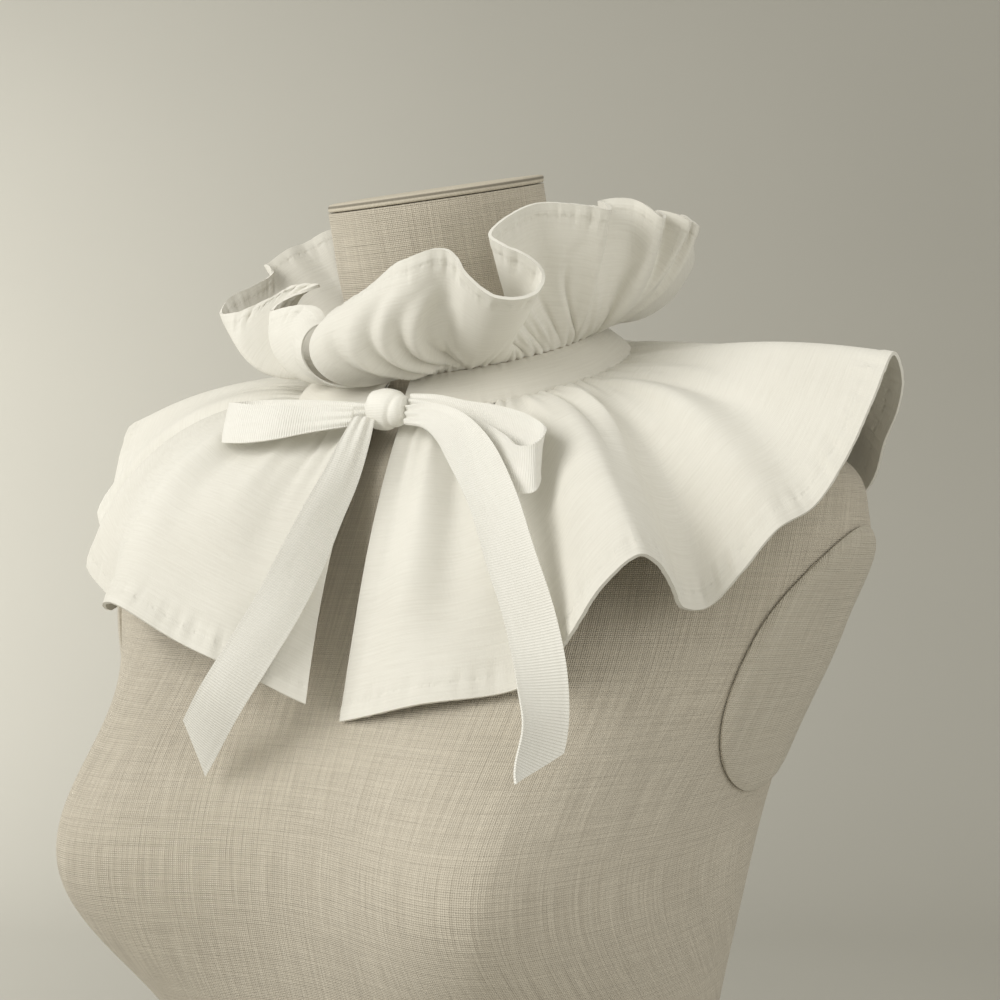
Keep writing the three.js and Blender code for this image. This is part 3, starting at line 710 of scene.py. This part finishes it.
def ribbon_strip(rows, nu, nv, slant=0.0, cup=0.0, pinch=0.0):
    """A strip along its middle line: middle(s) + across * w * width, with across turned about Z and lifted,
    `cup` mm of hollow over the width, and the far end cut on a slant of that many mm. Pleats run along the
    width as sin(17 w) and fade away from the knot as exp(-s/16), at the far end too where `pinch` is 1."""
    along = run_of(rows[:, :3])
    w = np.linspace(-0.5, 0.5, nv)[None]
    s = np.linspace(0, 1, nu)[:, None] * (along[-1] + slant * w) + 0 * w
    x, y, z, turn, lift, wide = (through(along, rows[:, k], s) for k in range(6))
    turn, lift = np.radians(turn), np.radians(lift)
    way = np.stack([np.cos(turn) * np.cos(lift), np.sin(turn) * np.cos(lift), np.sin(lift)], -1)
    strip = np.stack([x, y, z], -1) + way * (w * wide)[..., None]
    normal = unit(np.cross(np.gradient(strip, axis=0), np.gradient(strip, axis=1)))
    near = np.exp(-s / 16) + pinch * np.exp((s - along[-1]) / 16)
    pleat = 0.55 * np.sin(w * 17) * near + 0.25 * np.sin(w * 9 + s / 15) * np.exp(-s / 60)
    strip = strip + normal * (cup * (0.25 - w ** 2) * 4 + pleat)[..., None]
    return strip, s, w


ribbon = ribbon_finish("ribbed_ribbon")
for name, rows, node, slant, cup, length in (
        ("ribbon_loop_left", LEFT_LOOP, "bow_loop_left", 0, 0.6, 0.15),
        ("ribbon_loop_right", RIGHT_LOOP, "bow_loop_right", 0, 0.6, 0.13),
        ("ribbon_tail_left", LEFT_TAIL, "bow_tail_left", 14, 0.7, 0.17),
        ("ribbon_tail_right", RIGHT_TAIL, "bow_tail_right", -18, -0.7, 0.19)):
    strip, s, w = ribbon_strip(rows, 240, 31, slant, cup, 1.0 if "loop" in name else 0.0)
    points, faces = cloth_wall(strip, RIBBON_WALL * (1 + 0.35 * (np.abs(w) > 0.46)))
    flat = np.stack([w * RIBBON_WIDE + 0 * s, s], -1).reshape(-1, 2) * METRES
    piece = lay_mesh(name, points, faces, np.concatenate([flat, flat]), 60)
    piece.data.materials.append(ribbon)
    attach(piece, "root")
    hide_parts(node)

# The knot is one turn of the ribbon: its free edge lies over it as a slanted crease.
KNOT_CREASE_AT = 5.5
KNOT_AROUND = 96
KNOT_ALONG = 60

knot_turn = 2 * np.pi * np.arange(KNOT_AROUND) / KNOT_AROUND
knot_line = np.linspace(KNOT_SECTIONS[0, 0], KNOT_SECTIONS[-1, 0], KNOT_ALONG)
knot_s = knot_line[:, None]
tall, deep = (through(KNOT_SECTIONS[:, 0], KNOT_SECTIONS[:, k], knot_s) for k in (1, 2))
slant = knot_s - KNOT_CREASE_AT - 2.6 * np.sin(knot_turn + 0.5)
crease = 1 - 0.13 * np.exp(-(slant / 1.3) ** 2) - 0.035 * np.cos(2 * knot_turn + 0.22 * knot_s)
knot_rings = np.stack([KNOT_AT[0] + knot_s + 0 * knot_turn,
                       KNOT_AT[1] + deep * crease * np.cos(knot_turn),
                       KNOT_AT[2] + tall * crease * np.sin(knot_turn)], -1)
knot_flat = np.stack(np.meshgrid(knot_line, knot_turn * 8, indexing="ij"), -1).reshape(-1, 2) * METRES
knot_ends = [np.arange(KNOT_AROUND)[::-1], (KNOT_ALONG - 1) * KNOT_AROUND + np.arange(KNOT_AROUND)]
knot = lay_closed("ribbon_knot", knot_rings.reshape(-1, 3), ring_faces(KNOT_ALONG, KNOT_AROUND), knot_flat,
                  knot_ends, sharp=0)
knot.data.materials.append(ribbon_finish("ribbon_turn", ribbed=0.35))
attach(knot, "root")
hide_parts("bow_knot")

# ---- Studio ----------------------------------------------------------------------------------------
# Pale paper that runs from the floor up into a wall behind the form, a large soft key from camera left, a
# low light that brightens the paper on that side, and a weak fill.

VIEW = {"turn": 28.5, "rise": -2.0, "far": 0.655, "focal": 1436.0, "aim": (0.0368, -0.020, 0.554)}
PAPER = (0.455, 0.445, 0.403)
PAPER_FAR = 2.2
PAPER_BEND = 0.9
PAPER_WIDE = 6.0
SENSOR = 36
LAMP_COLOR = (1.0, 0.985, 0.95)
AIR = (0.60, 0.585, 0.53, 1.0)
AIR_STRENGTH = 0.95

turn, rise = np.radians(VIEW["turn"]), np.radians(VIEW["rise"])
toward = np.array([np.sin(turn) * np.cos(rise), -np.cos(turn) * np.cos(rise), np.sin(rise)])
right = np.array([np.cos(turn), np.sin(turn), 0.0])
away = np.array([-np.sin(turn), np.cos(turn), 0.0])
aim = np.array(VIEW["aim"])

# Profile of the paper: flat floor, a quarter circle, a straight wall; x along `away`, y up.
bend = np.radians(np.linspace(0, 90, 33))
paper_arc = np.stack([PAPER_FAR - PAPER_BEND + PAPER_BEND * np.sin(bend), PAPER_BEND * (1 - np.cos(bend))], -1)
paper_line = np.concatenate([[[-5.0, 0.0]], paper_arc, [[PAPER_FAR, 4.0]]])
paper_points = np.stack([away * x + right * side * PAPER_WIDE + np.array([0, 0, y])
                         for x, y in paper_line for side in (-1, 1)])
paper_faces = np.array([[2 * k, 2 * k + 1, 2 * k + 3, 2 * k + 2] for k in range(len(paper_line) - 1)])
floor = lay_mesh("studio_floor", paper_points * 1000, paper_faces, paper_points[:, :2], 0)
floor_finish = Finish("studio_paper", 0.95)
paper_grain = floor_finish.noise(floor_finish.place(), 1.6, detail=3.0)
floor_finish.color(floor_finish.mix(paper_grain, tuple(0.94 * c for c in PAPER), PAPER))
floor.data.materials.append(floor_finish.material)


def look_at(thing, spot, target):
    """Places a camera or light at spot with its -Z towards target and +Y up."""
    thing.location = Vector(spot)
    thing.rotation_euler = (Vector(target) - Vector(spot)).to_track_quat("-Z", "Y").to_euler()


for name, spot, target, size, power in (
        ("key", aim - right * 1.5 + toward * 0.9 + np.array([0, 0, 0.75]), aim, 1.2, 24.0),
        ("paper", aim - right * 1.9 + away * 0.7 + np.array([0, 0, 0.3]), aim + away * 2.2 - right * 1.2,
         0.9, 34.0),
        ("fill", aim + right * 1.5 + toward * 1.5 + np.array([0, 0, 0.3]), aim, 1.6, 11.0)):
    lamp_data = bpy.data.lights.new(name, "AREA")
    lamp_data.size, lamp_data.energy, lamp_data.color = size, power, LAMP_COLOR
    lamp = bpy.data.objects.new(name, lamp_data)
    bpy.context.scene.collection.objects.link(lamp)
    look_at(lamp, spot, target)

world = bpy.data.worlds.new("studio_air")
world.use_nodes = True
world.node_tree.nodes["Background"].inputs["Color"].default_value = AIR
world.node_tree.nodes["Background"].inputs["Strength"].default_value = AIR_STRENGTH
bpy.context.scene.world = world
bpy.context.scene.view_settings.view_transform = "Standard"

camera_data = bpy.data.cameras.new("view")
camera_data.lens = VIEW["focal"] / 1000 * SENSOR
camera_data.sensor_width = SENSOR
camera_data.clip_start = 0.01
camera = bpy.data.objects.new("view", camera_data)
bpy.context.scene.collection.objects.link(camera)
look_at(camera, aim + toward * VIEW["far"], aim)
bpy.context.scene.camera = camera
